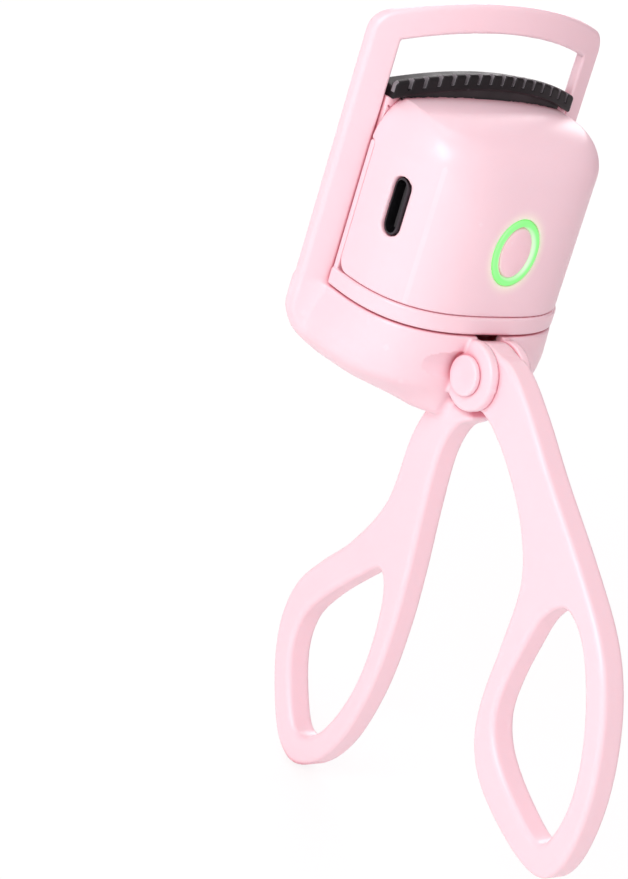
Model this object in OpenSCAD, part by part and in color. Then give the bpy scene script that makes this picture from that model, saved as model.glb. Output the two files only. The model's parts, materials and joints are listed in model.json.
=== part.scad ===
// Heated eyelash curler. X runs along the hinge pin, Z runs up along the rails and -Y is the
// front, the side with the power button. Every part is laid out about the centre of the hinge
// pin and then moved, so that the origin is the centre of the open curler's box.
// Rest is the open curler. Squeezing turns the front handle by swing degrees about +X.

/* [Head] */
// Width of the opening that the lashes enter, between the rails
opening_w = 35.4; // [34.6:0.2:36]
// Height of the top bar
bar_h = 4.5; // [3.5:0.25:5]
// Front-to-back thickness of the frame plate
frame_t = 1.9; // [1.8:0.05:2]
// Width of each rail
rail_w = 4.4; // [4.2:0.1:4.8]
// Height of the bar's lower edge above the hinge, at the middle
bar_z = 47.3; // [46.3:0.5:49.3]
// Height of the open gap between the bar and the pad
gap = 6; // [6:0.1:7]

/* [Hinge] */
// Diameter of the hinge pin
pin_d = 3; // [2.5:0.1:3.4]
// Radius of each ear around the hinge pin
ear_r = 5.4; // [5:0.1:5.5]
// Thickness of each ear
ear_t = 1.65; // [1.4:0.05:2]
// Distance from the hinge pin to the drive pin
arm_r = 13.6; // [13:0.1:13.8]
// How far the front handle turns when squeezed, in degrees
swing = 25; // [22:1:25]

/* [Handles] */
// Thickness of both handles, along the hinge pin
handle_t = 4.5; // [4:0.25:5]

/* [Heater body] */
// Width of the heater body
body_w = 36.8; // [36.4:0.1:37]
// Thickness of the moulded shells
wall = 1.5; // [1.2:0.1:1.8]
// Height of the power button's light ring
ring_h = 10.6; // [9:0.2:11]
// Width of the power button's light ring
ring_w = 8.2; // [7:0.2:9]
// How far the power button travels
press = 0.5; // [0.4:0.05:0.6]
// Number of slots in the comb pad
slots = 15; // [9:2:17]

/* [Hidden] */
$fn = 64;

fit = 0.02;              // radial clearance of a pin fixed in its hole
run_fit = 0.06;          // radial clearance of a hole that turns on its pin
side = 0.15;             // gap between the front handle and each ear
slide_gap = 0.25;        // gap between the carriage and the frame
seam = 0.05;             // gap between two parts that are joined
big = 200;               // longer than the object

// The frame plate is a piece of a tube about a vertical axis behind the curler.
plate_r = 55;                            // radius of its front face
plate_y = 72.4;                          // where its axis stands
back_r = plate_r - frame_t;              // radius of its back face
arch_r = 50.2;                           // radius of the bar's lower edge
half_open = opening_w / 2;
half_frame = half_open + rail_w;

ear_in = handle_t / 2 + side;            // inner face of each ear
ear_out = ear_in + ear_t;                // outer face of each ear
cap_r = 3.1;
cap_t = 1.1;
cap_grip = 0.55;                         // how deep the pin enters each cap
hub_r = 5.2;
drive_d = 2.5;
rest_arm = -swing / 2;                   // the arm's angle from +Y at rest
drive_y = arm_r * cos(rest_arm);
drive_z = arm_r * sin(rest_arm);

body_z = 5.6;                            // underside of the heater body
cup_z = body_z - slide_gap;              // top edge of the cup below it
chin_z = 8.4;                            // top of the rear cover's chin
strip_z = 29;                            // top of the rear cover's side strips
body_y = 19;                             // where the body's sides start to curve
body_front = 2.3;                        // front of the body
body_back = 20;                          // back edge of the front cover
outline_n = 2.8;                         // exponent of the body's outline
pad_top = bar_z - gap;
pad_h = 2.45;
body_top = pad_top - pad_h - seam;
pad_shelf = 0.8;                         // how far the pad drops behind its comb
heater_top = pad_top - pad_shelf - 0.45; // top of the heater strip
rib_in = 15.2;                           // inner face of each guide rib
rib_out = half_open - slide_gap;         // outer face of each guide rib
flange_r = back_r - 0.2;                 // front face of the back plate
flange_t = 1.8;
lug_gap = 0.25;
lug_t = 1.8;
boss_x = 12.6;
boss_low = 11.2;
boss_high = 31.5;
boss_r = 2;
boss_end = 20.9;
screw_r = 0.9;
screw_seat = 21.9;                       // where each screw's head bears

board_y = 12.9;                          // front face of the circuit board
board_t = 1;
usb_z = 21.9;
usb_t = 3.2;
usb_w = 8.9;
usb_in = -17.4;                          // mouth of the USB shell
button_z = 18.9;
button_gap = 0.12;
ring_band = 1.2;
button_front = body_front - 0.1;
switch_front = 8.6;

// A smooth closed curve through the given points
function spline(p, steps = 6) = [
    for (i = [0 : len(p) - 1], s = [0 : steps - 1])
        let (
            n = len(p),
            a = p[(i + n - 1) % n],
            b = p[i],
            c = p[(i + 1) % n],
            d = p[(i + 2) % n],
            t = s / steps
        )
        0.5 * (2 * b + (c - a) * t + (2 * a - 5 * b + 4 * c - d) * t * t
            + (3 * b - a - 3 * c + d) * t * t * t)
];

// Outline of the heater body seen from above: a superellipse with a straight back
function outline(half, front, back, steps = 36) = concat(
    [[-half, back]],
    [for (i = [0 : steps])
        let (a = 180 * i / steps, c = -cos(a), s = sin(a))
        [
            half * sign(c) * pow(abs(c), 2 / outline_n),
            body_y - (body_y - front) * pow(abs(s), 2 / outline_n)
        ]],
    [[half, back]]
);

// An upright oval, drawn in X and Z
function oval(w, h, steps = 48) =
    [for (i = [0 : steps - 1]) [w / 2 * cos(360 * i / steps), h / 2 * sin(360 * i / steps)]];

// Everything between two radii about the frame plate's axis
module tube(r_in, r_out, z_low, z_high) {
    translate([0, plate_y, z_low])
        difference() {
            cylinder(r = r_out, h = z_high - z_low, $fn = 180);
            translate([0, 0, -1])
                cylinder(r = r_in, h = z_high - z_low + 2, $fn = 180);
        }
}

// A slab of the front half of that tube, limited to x either side
module curved_slab(r_in, r_out, half, z_low, z_high) {
    intersection() {
        tube(r_in, r_out, z_low, z_high);
        translate([-half, 0, z_low - 1])
            cube([2 * half, plate_y - 15, z_high - z_low + 2]);
    }
}

// A solid below an arched surface that runs front to back and peaks at z
module under_arch(z) {
    translate([0, big / 2, z - arch_r])
        rotate([90, 0, 0])
            cylinder(r = arch_r, h = big, $fn = 180);
}

// A band between two arched surfaces with the same radius
module arch_band(z_low, z_high) {
    difference() {
        under_arch(z_high);
        under_arch(z_low);
    }
}

// A cylinder along X, centred at y and z
module x_cylinder(r, x1, x2, y = 0, z = 0) {
    translate([x1, y, z])
        rotate([0, 90, 0])
            cylinder(r = r, h = x2 - x1);
}

// A cylinder along Y
module y_cylinder(r, y1, y2, x = 0, z = 0) {
    translate([x, y2, z])
        rotate([90, 0, 0])
            cylinder(r = r, h = y2 - y1);
}

// A side profile in Y and Z, as thick as t along X
module side_plate(points, t) {
    rotate([90, 0, 90])
        translate([0, 0, -t / 2])
            linear_extrude(t)
                polygon(points);
}

// A front profile in X and Z, from y1 to y2
module front_plate(points, y1, y2) {
    translate([0, y2, 0])
        rotate([90, 0, 0])
            linear_extrude(y2 - y1)
                polygon(points);
}

// --- Frame -------------------------------------------------------------------------------

frame_bottom = -3.2;
corner = 4;              // radius of the frame's shoulders
foot = 4.6;              // radius of the frame's lower corners

// Front view of the frame plate: arched top, rounded shoulders
function arch_at(x, r) = bar_z - arch_r + sqrt(r * r - x * x);
shoulder = half_frame - corner;
frame_outline = concat(
    [for (a = [180 : 15 : 270])
        [-half_frame + foot + foot * cos(a), frame_bottom + foot + foot * sin(a)]],
    [for (a = [270 : 15 : 360])
        [half_frame - foot + foot * cos(a), frame_bottom + foot + foot * sin(a)]],
    [for (a = [0 : 15 : 90])
        [shoulder + corner * cos(a), arch_at(shoulder, arch_r + bar_h) - corner * (1 - sin(a))]],
    [for (x = [shoulder - 2 : -2 : -shoulder + 2]) [x, arch_at(x, arch_r + bar_h)]],
    [for (a = [90 : 15 : 180])
        [-shoulder + corner * cos(a), arch_at(shoulder, arch_r + bar_h) - corner * (1 - sin(a))]]
);

module arch_plate() {
    difference() {
        intersection() {
            tube(back_r, plate_r, frame_bottom, bar_z + bar_h + 1);
            front_plate(frame_outline, 10, 32);
        }
        intersection() {
            under_arch(bar_z);
            translate([-half_open, 0, cup_z - 1])
                cube([opening_w, 40, 50]);
        }
    }
}

// One level of the cup: half-width and y at the ears, at the widest point and at the back
module cup_level(z, points) {
    translate([0, 0, z])
        linear_extrude(0.01)
            polygon(concat(points, [for (i = [len(points) - 1 : -1 : 0]) [-points[i][0], points[i][1]]]));
}

module cup_outer() {
    difference() {
        hull() {
            translate([0, 0, cup_z - 0.01])
                linear_extrude(0.01)
                    polygon(outline(body_w / 2 + 0.3, body_front - 0.4, 21));
            cup_level(cup_z - 0.01, [[20.4, 20.6], [half_frame, 22.4], [21, 24.6]]);
            cup_level(0, [[16, 7], [21.4, 21.9], [20.8, 24.5]]);
            cup_level(-3.4, [[ear_out, 3.4], [10, 3.8], [15, 6.8], [19.2, 19.6], [19.4, 24]]);
            cup_level(-6.2, [[ear_out, 3.6], [11.4, 8.4], [14.6, 15.6], [15, 22.5]]);
            cup_level(-8.6, [[ear_out, 4.2], [8.4, 9], [8.4, 19.5]]);
        }
        translate([0, plate_y, -20])
            cylinder(r = back_r, h = 60, $fn = 180);
    }
}

module cup_cavity() {
    difference() {
        hull() {
            translate([0, 0, cup_z + 1])
                linear_extrude(0.01)
                    polygon(outline(body_w / 2 - 1.4, body_front + 1.4, 19.4));
            cup_level(-2.6, [[ear_in, 4], [14.4, 16.6], [14.4, 21]]);
            cup_level(-5.2, [[ear_in, 4.6], [10.6, 14], [10.6, 21]]);
            cup_level(-7, [[ear_in, 6], [6.4, 10.2], [6.4, 19]]);
        }
        translate([0, plate_y, -20])
            cylinder(r = back_r + wall + 0.3, h = 60, $fn = 180);
    }
}

rear_outline = spline([
    [1.5, -6], [7, -6.8], [10.2, -14.5], [11.1, -26.9], [16.1, -36.7], [21.5, -43.3], [25.6, -49.2],
    [27.1, -55.5], [26.3, -62], [23.3, -69], [19.2, -74.8], [14.2, -76.7], [8.9, -73.4],
    [4.4, -66.2], [1.6, -55.6], [0.9, -45], [1.4, -35], [2.6, -23.9], [3.1, -15], [1.6, -9.5], [-1.4, -6.6]
]);
rear_loop = spline([
    [8.2, -37.6], [12.6, -41.6], [18.4, -48.3], [22, -54.3], [22.3, -60.3], [19.6, -66.6], [15.9, -71.3],
    [11.8, -70.5], [8, -65], [5.4, -57.4], [4.6, -49], [5.6, -40.5]
]);

// A handle with a finger loop
module loop_handle(edge, loop) {
    difference() {
        side_plate(edge, handle_t);
        side_plate(loop, handle_t + 2);
    }
}

module main_frame() {
    color("pink") centred()
        difference() {
            union() {
                arch_plate();
                cup_outer();
                x_cylinder(ear_r, -ear_out, ear_out);
                loop_handle(rear_outline, rear_loop);
            }
            cup_cavity();
            // room for the hub and the arm of the front handle
            translate([-ear_in, -10, -hub_r - 0.3])
                cube([2 * ear_in, 18, big]);
            x_cylinder(hub_r + 0.3, -ear_in, ear_in);
            x_cylinder(pin_d / 2 + fit, -big, big);
            // flat seats for the caps
            x_cylinder(cap_r + 0.2, ear_out, big);
            x_cylinder(cap_r + 0.2, -big, -ear_out);
        }
}

module hinge_pin() {
    color("silver") centred()
        x_cylinder(pin_d / 2, -ear_out - cap_grip, ear_out + cap_grip);
}

// One domed cap on the end of the hinge pin
module pin_cap() {
    dome = 0.4;
    translate([ear_out, 0, 0])
        rotate([0, 90, 0])
            difference() {
                rotate_extrude()
                    polygon(concat(
                        [[0, 0], [cap_r, 0]],
                        [for (a = [0 : 10 : 90]) [
                            cap_r - dome * (1 - cos(a)) - cap_r * 0.6 * pow(a / 90, 6),
                            cap_t - dome + dome * sin(a)
                        ]],
                        [[0, cap_t]]
                    ));
                translate([0, 0, -1])
                    cylinder(r = pin_d / 2 + fit, h = 1 + cap_grip + fit);
            }
}

module pin_caps() {
    color("pink") centred() {
        pin_cap();
        mirror([1, 0, 0])
            pin_cap();
    }
}

// --- Front handle ------------------------------------------------------------------------

front_outline = spline([
    [1.5, 3.4], [-3.4, 4.7], [-7.6, 3.6], [-13.8, -0.6], [-21.3, -6.6], [-32.4, -14.8], [-40.6, -21.8],
    [-45.3, -28.6], [-48.3, -37], [-49.5, -46], [-48.6, -54.4], [-45.6, -59.2], [-40.4, -59.8],
    [-33, -57.5], [-26.8, -54], [-23.2, -49], [-22, -42.5], [-22.3, -33], [-22.1, -23], [-18.4, -15.8],
    [-12.4, -9.8], [-6.4, -5.8], [-0.5, -3.2]
]);
front_loop = spline([
    [-32, -21.7], [-28.6, -25.2], [-26.9, -31.3], [-25.7, -38.5], [-26, -44], [-29, -48.6], [-35.4, -52.7],
    [-42.4, -55], [-45.1, -50.5], [-45.5, -43], [-43.4, -34.5], [-39.6, -26.9], [-35.8, -22.8]
]);

module front_handle() {
    arm_w = 4.4;
    arm_end = 2.6;
    color("pink") centred()
        difference() {
            union() {
                loop_handle(front_outline, front_loop);
                x_cylinder(hub_r, -handle_t / 2, handle_t / 2);
                rotate([rest_arm, 0, 0])
                    translate([-handle_t / 2, 0, -arm_w / 2])
                        cube([handle_t, arm_r, arm_w]);
                x_cylinder(arm_end, -handle_t / 2, handle_t / 2, drive_y, drive_z);
            }
            x_cylinder(pin_d / 2 + run_fit, -big, big);
            x_cylinder(drive_d / 2 + fit, -big, big, drive_y, drive_z);
        }
}

module drive_pin() {
    half = handle_t / 2 + lug_gap + lug_t;
    color("silver") centred()
        x_cylinder(drive_d / 2, -half, half, drive_y, drive_z);
}

// --- Heater body -------------------------------------------------------------------------

dome_z = 24;             // where the front starts to curve back
dome_y = 17.5;           // front edge of the top

// Side view of the body: upright front, rounded back to the pad, drawn in by inset
function body_profile(inset, back) = concat(
    [[back, body_z - 1], [body_front + inset, body_z - 1]],
    [for (a = [0 : 9 : 81])
        [
            dome_y - (dome_y - body_front - inset) * cos(a),
            dome_z + (body_top + 0.5 - dome_z - inset) * sin(a)
        ]],
    [[dome_y, body_top + 0.5 - inset], [back, body_top + 0.5 - inset]]
);

// The heater body's full shape, drawn in by inset
module body_form(inset, back) {
    intersection() {
        translate([0, 0, body_z - 1])
            linear_extrude(50)
                polygon(outline(body_w / 2 - inset, body_front + inset, back));
        side_plate(body_profile(inset, back + 1), 60);
        under_arch(body_top - inset);
    }
}

// Where the pad holder comes up through the top
holder_in = flange_r + 0.45;
holder_out = plate_r - 0.1;
holder_half = 15;

module front_cover() {
    color("pink") centred()
        difference() {
            union() {
                difference() {
                    body_form(0, body_back);
                    body_form(wall, body_back + 5);
                }
                for (x = [-boss_x, boss_x], z = [boss_low, boss_high])
                    y_cylinder(boss_r, 7, boss_end, x, z);
            }
            // the rear cover's chin, strips and back plate
            translate([-30, -1, body_z - 2])
                cube([60, body_back + 2, chin_z + seam - body_z + 2]);
            for (s = [-1, 1])
                translate([s * 20 - 6, body_y - seam, body_z - 2])
                    cube([12, 5, strip_z + seam - body_z + 2]);
            curved_slab(flange_r - 3, flange_r + seam, 20, 4, 45);
            curved_slab(flange_r - 1, holder_out + seam, holder_half + seam, body_top - 8, 45);
            for (x = [-boss_x, boss_x], z = [boss_low, boss_high])
                y_cylinder(screw_r + 0.05, 13.5, 30, x, z);
            front_oval(ring_w + 2 * seam, ring_h + 2 * seam, 0, body_front + 5);
            usb_mouth(0.25, 8);
        }
}

// The rounded shape of a USB-C plug, along X, grown by g
module usb_mouth(g, length) {
    r = usb_t / 2 + g;
    reach = usb_w / 2 - usb_t / 2;
    translate([usb_in - length / 2, board_y - usb_t / 2, usb_z])
        rotate([0, 90, 0])
            linear_extrude(length) {
                for (s = [-1, 1])
                    translate([s * reach, 0])
                        circle(r = r);
                square([2 * reach, 2 * r], center = true);
            }
}

module rear_cover() {
    lug_in = handle_t / 2 + lug_gap;
    lug_y = 6.4;
    plate_half = body_w / 2 - 0.2;
    plate_in = flange_r - flange_t;
    inner_half = body_w / 2 - wall;
    color("pink") centred()
        difference() {
            union() {
                // chin with its floor
                difference() {
                    translate([0, 0, body_z])
                        linear_extrude(chin_z - body_z)
                            polygon(outline(body_w / 2 + 0.3, body_front - 0.3, body_back));
                    translate([0, 0, body_z + wall])
                        linear_extrude(10)
                            polygon(outline(inner_half, body_front + wall, body_y));
                }
                // floor, lip and plate behind the rails
                curved_slab(flange_r - 1, plate_r, rib_out, body_z, body_z + wall);
                intersection() {
                    union() {
                        curved_slab(plate_in, flange_r, plate_half, 7, body_top + 1);
                        intersection() {
                            curved_slab(flange_r - 1, plate_r, rib_out, 20, body_top + 1);
                            translate([-20, body_back + seam, 0])
                                cube([40, 10, 60]);
                            arch_band(body_top - wall, body_top + 1);
                        }
                        intersection() {
                            curved_slab(flange_r - 1, flange_r + 0.2, holder_half, 20, body_top + 1);
                            arch_band(body_top - wall, body_top + 1);
                        }
                    }
                    under_arch(body_top);
                }
                // guide ribs and side strips
                for (s = [-1, 1]) {
                    intersection() {
                        translate([s > 0 ? rib_in : -rib_out, body_back + seam, body_z])
                            cube([rib_out - rib_in, 6, body_top - body_z]);
                        tube(flange_r - 1, big, body_z, body_top);
                        under_arch(body_top - wall);
                    }
                    translate([s > 0 ? rib_in : -body_w / 2, body_y, body_z])
                        cube([body_w / 2 - rib_in, body_back - body_y, strip_z - body_z]);
                    translate([s > 0 ? rib_in : -rib_out, body_back - seam, body_z])
                        cube([rib_out - rib_in, 3 * seam, strip_z - body_z]);
                }
                // lugs for the drive pin
                for (s = [-1, 1])
                    translate([s > 0 ? lug_in : -lug_in - lug_t, drive_y - lug_y / 2, drive_z - 2.6])
                        cube([lug_t, lug_y, body_z + 0.5 - drive_z + 2.6]);
            }
            // slots for the drive pin
            for (y = [drive_y, arm_r])
                x_cylinder(drive_d / 2 + 0.08, -10, 10, y, drive_z);
            translate([-10, drive_y, drive_z - drive_d / 2 - 0.08])
                cube([20, arm_r - drive_y, drive_d + 0.16]);
            // slot for the pad holder
            curved_slab(holder_in - seam, holder_out + 1, holder_half + seam, strip_z, 45);
            for (x = [-boss_x, boss_x], z = [boss_low, boss_high]) {
                y_cylinder(screw_r + 0.1, 15, 30, x, z);
                y_cylinder(1.95, screw_seat, 30, x, z);
            }
        }
}

// --- Pad and heater ----------------------------------------------------------------------

module comb_pad() {
    back = plate_r - 3.1;
    front = plate_r + 1;
    ridge = plate_r - 0.2;
    half = half_open - 0.35;
    pitch = 2 * half / (slots + 1);
    slot_r = plate_r + 0.35;
    color("black") centred()
        intersection() {
            difference() {
                union() {
                    curved_slab(ridge, front, half, 30, 45);
                    intersection() {
                        curved_slab(back, ridge + 0.1, half, 30, 45);
                        under_arch(pad_top - pad_shelf);
                    }
                }
                intersection() {
                    curved_slab(holder_in - seam, holder_out + seam, holder_half + seam, 28, 45);
                    under_arch(heater_top + seam);
                }
                intersection() {
                    for (i = [1 : slots])
                        translate([0, plate_y, 0])
                            rotate([0, 0, asin((i * pitch - half) / front)])
                                translate([-0.35, -front - 1, 0])
                                    cube([0.7, front + 1 - slot_r, 60]);
                    arch_band(pad_top - 1.5, pad_top + 1);
                }
            }
            arch_band(pad_top - pad_h, pad_top);
        }
}

module heating_plate() {
    color("silver") centred()
        intersection() {
            curved_slab(holder_in, holder_out, holder_half, 28, 45);
            arch_band(heater_top - 0.75, heater_top);
        }
}

module pad_holder() {
    color("dimgray") centred()
        difference() {
            union() {
                intersection() {
                    curved_slab(holder_in, holder_out, holder_half, 28, 45);
                    arch_band(body_top - wall - 1.5, heater_top - 0.8);
                }
                intersection() {
                    curved_slab(holder_in - 0.25, holder_out + 0.9, holder_half - 0.8, 28, 45);
                    arch_band(body_top - wall - 1.5, body_top - wall - seam);
                }
            }
            for (x = [-wire_x, wire_x])
                translate([x, wire_y, 30])
                    cylinder(r = 0.5, h = 15);
            translate([0, wire_y, 30])
                cylinder(r = sensor_r + 0.05, h = 15);
        }
}

sensor_r = 0.5;
wire_x = 3;
wire_y = plate_y - (holder_in + holder_out) / 2;

module temperature_sensor() {
    top = heater_top - 0.8;
    color("black") centred()
        translate([0, wire_y, top - 2.4]) {
            cylinder(r = sensor_r, h = 1.85);
            translate([0, 0, 1.85])
                sphere(r = sensor_r);
        }
}

// --- Electronics -------------------------------------------------------------------------

battery_y = 15.2;

module battery() {
    half = 9.5;
    color("silver") centred()
        translate([-half, battery_y, 11]) {
            cube([2 * half, 4, 16]);
            translate([2, 1.2, 16])
                cube([2 * half - 4, 2, 0.8]);
        }
}

module battery_foam() {
    color("gray") centred()
        translate([-8, board_y + board_t + 0.1, 12])
            cube([16, battery_y - board_y - board_t - 0.2, 12]);
}

module circuit_board() {
    color("green") centred()
        translate([0, board_y, 0])
            difference() {
                translate([-15.8, 0, 14])
                    cube([27, board_t, 15]);
                for (z = [16, 27])
                    y_cylinder(0.6, -1, 3, 9.4, z);
            }
}

module control_chip() {
    color("black") centred()
        translate([4.6, board_y - 1.2 - seam, 22.5])
            cube([4, 1.2, 4]);
}

module usb_shell() {
    color("silver") centred()
        translate([7.3 / 2, 0, 0])
            difference() {
                usb_mouth(-seam, 7.3);
                translate([-1, 0, 0])
                    usb_mouth(-0.35, 7.3);
            }
}

module usb_tongue() {
    color("black") centred()
        translate([usb_in + 1, board_y - usb_t / 2 - 0.35, usb_z - 3.3])
            cube([5.2, 0.7, 6.6]);
}

module tact_switch() {
    color("black") centred() {
        translate([-2.25, board_y - 2.2 - seam, button_z - 2.25])
            cube([4.5, 2.2, 4.5]);
        y_cylinder(1, switch_front + press + 0.1, board_y - 2.2, 0, button_z);
    }
}

module power_button() {
    cap_w = ring_w - 2 * ring_band - 2 * button_gap;
    cap_h = ring_h - 2 * ring_band - 2 * button_gap;
    color("pink") centred() {
        front_oval(cap_w, cap_h, button_front, body_front + 3.8);
        front_oval(cap_w + 1.6, cap_h + 1.6, body_front + 3.1, body_front + 3.8);
        y_cylinder(1.2, body_front + 3.5, switch_front, 0, button_z);
    }
}

// An oval plate from y1 to y2, centred on the button
module front_oval(w, h, y1, y2) {
    translate([0, y2, button_z])
        rotate([90, 0, 0])
            linear_extrude(y2 - y1)
                polygon(oval(w, h));
}

module light_ring() {
    color("lightgreen") centred()
        difference() {
            union() {
                front_oval(ring_w, ring_h, body_front - 0.1, body_front + 3);
                front_oval(ring_w + 2, ring_h + 2, body_front + wall + 0.45, body_front + 3);
            }
            front_oval(ring_w - 2 * ring_band, ring_h - 2 * ring_band, 0, body_front + 4);
        }
}

module status_leds() {
    color("white") centred()
        for (s = [-1, 1])
            translate([s * 3.6 - 0.8, board_y - 0.7 - seam, button_z + s * 3.2 - 0.4])
                cube([1.6, 0.7, 0.8]);
}

module cover_screws() {
    color("silver") centred()
        for (x = [-boss_x, boss_x], z = [boss_low, boss_high]) {
            y_cylinder(screw_r, 15, screw_seat, x, z);
            difference() {
                y_cylinder(1.8, screw_seat, screw_seat + 1, x, z);
                for (a = [0, 90])
                    translate([x, screw_seat + 1, z])
                        rotate([0, a, 0])
                            cube([2.2, 1, 0.4], center = true);
            }
        }
}

module battery_wires() {
    r = 0.4;
    color("red") centred()
        for (x = [5.6, 7])
            y_cylinder(r, board_y + board_t + 0.02, battery_y + 2.5, x, 28.25);
}

module heater_wires() {
    r = 0.4;
    low = 28.4;
    color("white") centred()
        for (x = [-wire_x, wire_x]) {
            translate([x, wire_y, low])
                cylinder(r = r, h = heater_top - 0.9 - low);
            y_cylinder(r, board_y + board_t + 0.02, wire_y, x, low);
            translate([x, wire_y, low])
                sphere(r = r);
        }
}

// Moves a part from the hinge pin's place to the box's centre
module centred() {
    y_back = max([for (p = rear_outline) p[0]]);
    y_front = min([for (p = front_outline) p[0]]);
    z_top = bar_z + bar_h;
    z_bottom = min([for (p = rear_outline) p[1]]);
    translate([0, -(y_back + y_front) / 2, -(z_top + z_bottom) / 2])
        children();
}

main_frame();
hinge_pin();
pin_caps();
front_handle();
drive_pin();
front_cover();
rear_cover();
comb_pad();
pad_holder();
heating_plate();
temperature_sensor();
battery();
battery_foam();
circuit_board();
control_chip();
usb_shell();
usb_tongue();
tact_switch();
power_button();
light_ring();
status_leds();
cover_screws();
battery_wires();
heater_wires();
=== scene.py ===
import json
import math

import bpy
import numpy as np
from mathutils import Matrix, Vector


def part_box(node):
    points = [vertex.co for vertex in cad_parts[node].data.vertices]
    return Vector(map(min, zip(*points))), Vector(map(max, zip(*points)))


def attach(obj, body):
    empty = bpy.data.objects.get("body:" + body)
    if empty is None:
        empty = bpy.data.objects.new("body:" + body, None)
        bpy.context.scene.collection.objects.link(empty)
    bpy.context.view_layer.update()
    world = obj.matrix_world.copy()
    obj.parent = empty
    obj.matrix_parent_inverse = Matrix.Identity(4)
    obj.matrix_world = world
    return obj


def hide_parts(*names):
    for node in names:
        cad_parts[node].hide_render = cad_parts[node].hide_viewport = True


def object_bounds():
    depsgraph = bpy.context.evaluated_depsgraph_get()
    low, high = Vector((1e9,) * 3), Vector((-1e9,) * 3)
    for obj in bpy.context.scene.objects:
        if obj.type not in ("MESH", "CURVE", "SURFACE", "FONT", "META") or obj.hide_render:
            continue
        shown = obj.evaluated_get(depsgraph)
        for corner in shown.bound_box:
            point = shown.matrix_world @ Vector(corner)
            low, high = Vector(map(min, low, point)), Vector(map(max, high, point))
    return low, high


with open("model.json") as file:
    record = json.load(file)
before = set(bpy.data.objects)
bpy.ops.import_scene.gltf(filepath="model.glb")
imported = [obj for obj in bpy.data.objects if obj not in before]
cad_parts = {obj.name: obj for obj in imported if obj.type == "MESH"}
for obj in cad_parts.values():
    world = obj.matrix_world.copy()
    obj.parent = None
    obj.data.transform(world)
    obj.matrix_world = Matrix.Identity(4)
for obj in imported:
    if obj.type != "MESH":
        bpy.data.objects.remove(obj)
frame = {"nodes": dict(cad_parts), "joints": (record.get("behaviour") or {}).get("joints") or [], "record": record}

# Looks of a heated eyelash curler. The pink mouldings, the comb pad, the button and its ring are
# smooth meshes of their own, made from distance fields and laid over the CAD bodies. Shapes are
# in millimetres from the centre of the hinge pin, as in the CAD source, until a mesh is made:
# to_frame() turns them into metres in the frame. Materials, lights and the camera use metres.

cad_low, cad_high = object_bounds()
hinge = next(j for j in frame["joints"] if j["name"] == "handle_hinge")
PIN = np.array(hinge["pos_m"])


def to_frame(points):
    return np.asarray(points, float) / 1000 + PIN


# --- Sizes --------------------------------------------------------------------------------

# Most are the CAD source's. A few differ from it a little, such as the dome, the pad's arch,
# the ring's band and the gap around the button.

PLATE_Y, FRONT_R, BACK_R = 72.4, 55.0, 53.1
ARCH_R, BAR_Z, BAR_H = 50.2, 47.3, 4.5
HALF_OPEN, HALF_FRAME = 17.7, 22.1
EAR_IN, EAR_OUT, EAR_R = 2.4, 4.05, 5.4
HUB_R, HANDLE_T, ARM_R = 5.2, 4.5, 13.6
CAP_R, CAP_T = 3.1, 1.1
DRIVE_Y, DRIVE_Z, ARM_HALF = 13.28, -2.94, 2.3
HUB_ROOM, SEAT_ROOM = 0.3, 0.45
BODY_HALF, BODY_FRONT, BODY_Y, BODY_BACK = 18.4, 2.3, 19.0, 20.0
BODY_Z, CHIN_Z, STRIP_Z, CUP_Z = 5.6, 8.4, 29.0, 5.35
DOME_FRONT, DOME_Y, DOME_Z, BODY_TOP = -0.2, 17.5, 21.0, 38.8
PAD_TOP, PAD_H, PAD_SHELF, PAD_HALF, PAD_ARCH = 41.3, 2.45, 0.8, 17.35, 47.0
HOLDER_IN, HOLDER_OUT, HOLDER_HALF = 53.35, 54.9, 15.0
FLANGE_R, FLANGE_T = 52.9, 1.8
RIB_IN, RIB_OUT = 15.2, 17.45
WALL, SEAM = 1.5, 0.05
RING_W, RING_H, RING_BAND, BUTTON_Z = 8.2, 10.6, 1.1, 18.9
USB_Y, USB_Z, PORT_R, PORT_REACH = 11.3, 21.9, 1.65, 2.95
BOSS_X, BOSS_ZS, BOSS_END, SCREW_SEAT = 12.6, (11.2, 31.5), 20.9, 21.9
BOSS_R, BOSS_BORE, BORE_START = 2, 0.95, 13.5
HEAD_HOLE, SCREW_HOLE = 1.95, 1.0
LUG_IN, LUG_OUT, LUG_R, LUG_SLOT, LUG_TOP = 2.5, 4.3, 2.4, 1.33, 6.3
BUTTON_GAP, BUTTON_DEEP, STEM_R, SWITCH_FRONT = 0.14, 3.8, 1.2, 8.6
SLOTS, SLOT_HALF, SLOT_DEEP = 15, 0.28, 1.5


# --- Distance fields ----------------------------------------------------------------------

def meet(a, b, r):
    """The part in both fields, with the edge between them rounded to radius r."""
    return np.minimum(-r, np.maximum(a, b)) + np.hypot(np.maximum(r + a, 0), np.maximum(r + b, 0))


def join(a, b, r):
    """The two fields together, with a fillet of radius r between them."""
    return -meet(-a, -b, r)


def cut(a, b, r):
    """Field a without field b, with the edge rounded to radius r."""
    return meet(a, -b, r)


def slab(v, low, high):
    return np.abs(v - (low + high) / 2) - (high - low) / 2


def radius(x, y):
    """Distance from the frame plate's upright axis; the half behind the axis counts as far away."""
    return np.hypot(x, y - PLATE_Y) + 50 * (y > PLATE_Y - 5)


def arch(x, z, top):
    """Height above the pad's arched surface that peaks at top."""
    return np.where(z > top - PAD_ARCH, np.hypot(x, z - top + PAD_ARCH), 0) - PAD_ARCH


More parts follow.
